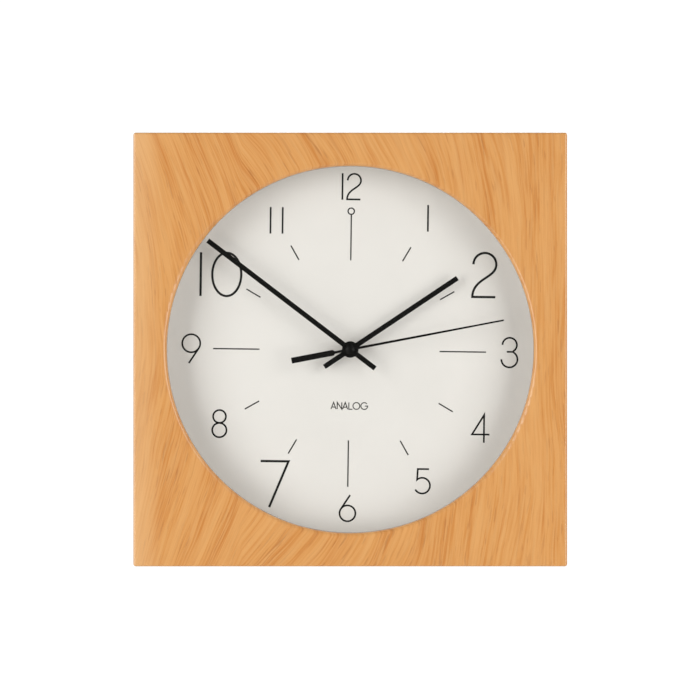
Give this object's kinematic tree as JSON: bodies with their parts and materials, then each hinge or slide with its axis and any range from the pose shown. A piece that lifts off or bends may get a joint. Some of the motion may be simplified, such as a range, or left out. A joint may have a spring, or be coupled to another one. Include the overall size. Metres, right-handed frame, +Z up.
{
  "type": "wall clock",
  "caption": "Square wooden wall clock with a deep round opening, a flat numbered dial behind glass and a battery-powered movement that drives three straight hands.",
  "frame": {"origin": "the nail's seat at the top of the hanger plate's keyhole, on the wall plane", "axes": "+Z up, +Y into the wall, the dial faces -Y, +X to the viewer's right"},
  "size_m": [0.3, 0.044, 0.3],
  "materials": {
    "wood_veneer": "satin",
    "plain_wood": "matt",
    "fibre_board": "matt",
    "clear_glass": "polished",
    "dial_white": "matt",
    "liner_white": "matt",
    "hand_black": "satin",
    "housing_black": "matt",
    "wheel_plastic": "satin",
    "pale_plastic": "matt",
    "brass": "turned",
    "steel": "zinc plated",
    "magnet": "sintered",
    "copper_wire": "enamelled",
    "board_green": "solder mask",
    "rubber_black": "matt",
    "cell_wrap": "printed film"
  },
  "bodies": {
    "case": {"front_board": "wood_veneer", "rail_top": "wood_veneer", "rail_bottom": "wood_veneer", "rail_left": "wood_veneer", "rail_right": "wood_veneer", "corner_blocks": "plain_wood", "glass_pane": "clear_glass", "liner_ring": "liner_white", "dial_plate": "dial_white", "backer_board": "fibre_board", "backer_screws": "steel", "hanger_block": "plain_wood", "hanger_plate": "steel", "hanger_screws": "steel", "wall_pads": "rubber_black", "front_case": "housing_black", "rear_cover": "housing_black", "train_plate": "pale_plastic", "rubber_washer": "rubber_black", "brass_washer": "brass", "hex_nut": "brass", "circuit_board": "board_green", "chip": "housing_black", "crystal": "steel", "coil_bobbin": "pale_plastic", "coil_winding": "copper_wire", "coil_core": "steel", "stator": "steel", "contact_positive": "steel", "contact_negative": "steel"},
    "seconds": {"second_wheel": "wheel_plastic", "second_hand": "hand_black", "second_cap": "hand_black"},
    "intermediate": {"intermediate_wheel": "wheel_plastic"},
    "rotor": {"rotor_magnet": "magnet", "rotor_pinion": "wheel_plastic"},
    "third": {"third_wheel": "wheel_plastic"},
    "centre": {"centre_wheel": "brass"},
    "minutes": {"minute_pipe": "brass", "clutch_spring": "steel", "minute_hand": "hand_black", "minute_collet": "brass"},
    "motion": {"motion_wheel": "wheel_plastic"},
    "hours": {"hour_wheel": "wheel_plastic", "hour_hand": "hand_black", "hour_collet": "brass"},
    "setting": {"setting_shaft": "wheel_plastic", "setting_knob": "housing_black"},
    "battery": {"battery_cell": "cell_wrap"}
  },
  "joints": [
    {"name": "second_turn", "type": "hinge", "parent": "case", "child": "seconds", "pos_m": [0, -0.03, -0.131], "axis": [0, 1, 0], "continuous": true},
    {"name": "intermediate_turn", "type": "hinge", "parent": "case", "child": "intermediate", "pos_m": [-0.00063, -0.008, -0.12383], "axis": [0, 1, 0], "continuous": true},
    {"name": "rotor_turn", "type": "hinge", "parent": "case", "child": "rotor", "pos_m": [0.00473, -0.006, -0.11933], "axis": [0, 1, 0], "continuous": true},
    {"name": "third_turn", "type": "hinge", "parent": "case", "child": "third", "pos_m": [0.00799, -0.009, -0.12809], "axis": [0, 1, 0], "continuous": true},
    {"name": "centre_turn", "type": "hinge", "parent": "case", "child": "centre", "pos_m": [0, -0.01, -0.131], "axis": [0, 1, 0], "continuous": true},
    {"name": "minute_turn", "type": "hinge", "parent": "case", "child": "minutes", "pos_m": [0, -0.02, -0.131], "axis": [0, 1, 0], "continuous": true},
    {"name": "motion_turn", "type": "hinge", "parent": "case", "child": "motion", "pos_m": [-0.00812, -0.012, -0.12804], "axis": [0, 1, 0], "continuous": true},
    {"name": "hour_turn", "type": "hinge", "parent": "case", "child": "hours", "pos_m": [0, -0.02, -0.131], "axis": [0, 1, 0], "continuous": true},
    {"name": "setting_turn", "type": "hinge", "parent": "case", "child": "setting", "pos_m": [-0.0156, -0.008, -0.12372], "axis": [0, 1, 0], "continuous": true},
    {"name": "battery_slide", "type": "slide", "parent": "case", "child": "battery", "axis": [0, 1, 0], "range_m": [0, 0.03]}
  ],
  "couplings": [
    {"joint": "intermediate_turn", "follows": "second_turn", "ratio": -5},
    {"joint": "rotor_turn", "follows": "second_turn", "ratio": 30},
    {"joint": "third_turn", "follows": "second_turn", "ratio": -0.13333},
    {"joint": "centre_turn", "follows": "second_turn", "ratio": 0.016667},
    {"joint": "motion_turn", "follows": "minute_turn", "ratio": -0.33333},
    {"joint": "hour_turn", "follows": "minute_turn", "ratio": 0.083333},
    {"joint": "setting_turn", "follows": "minute_turn", "ratio": 1}
  ]
}
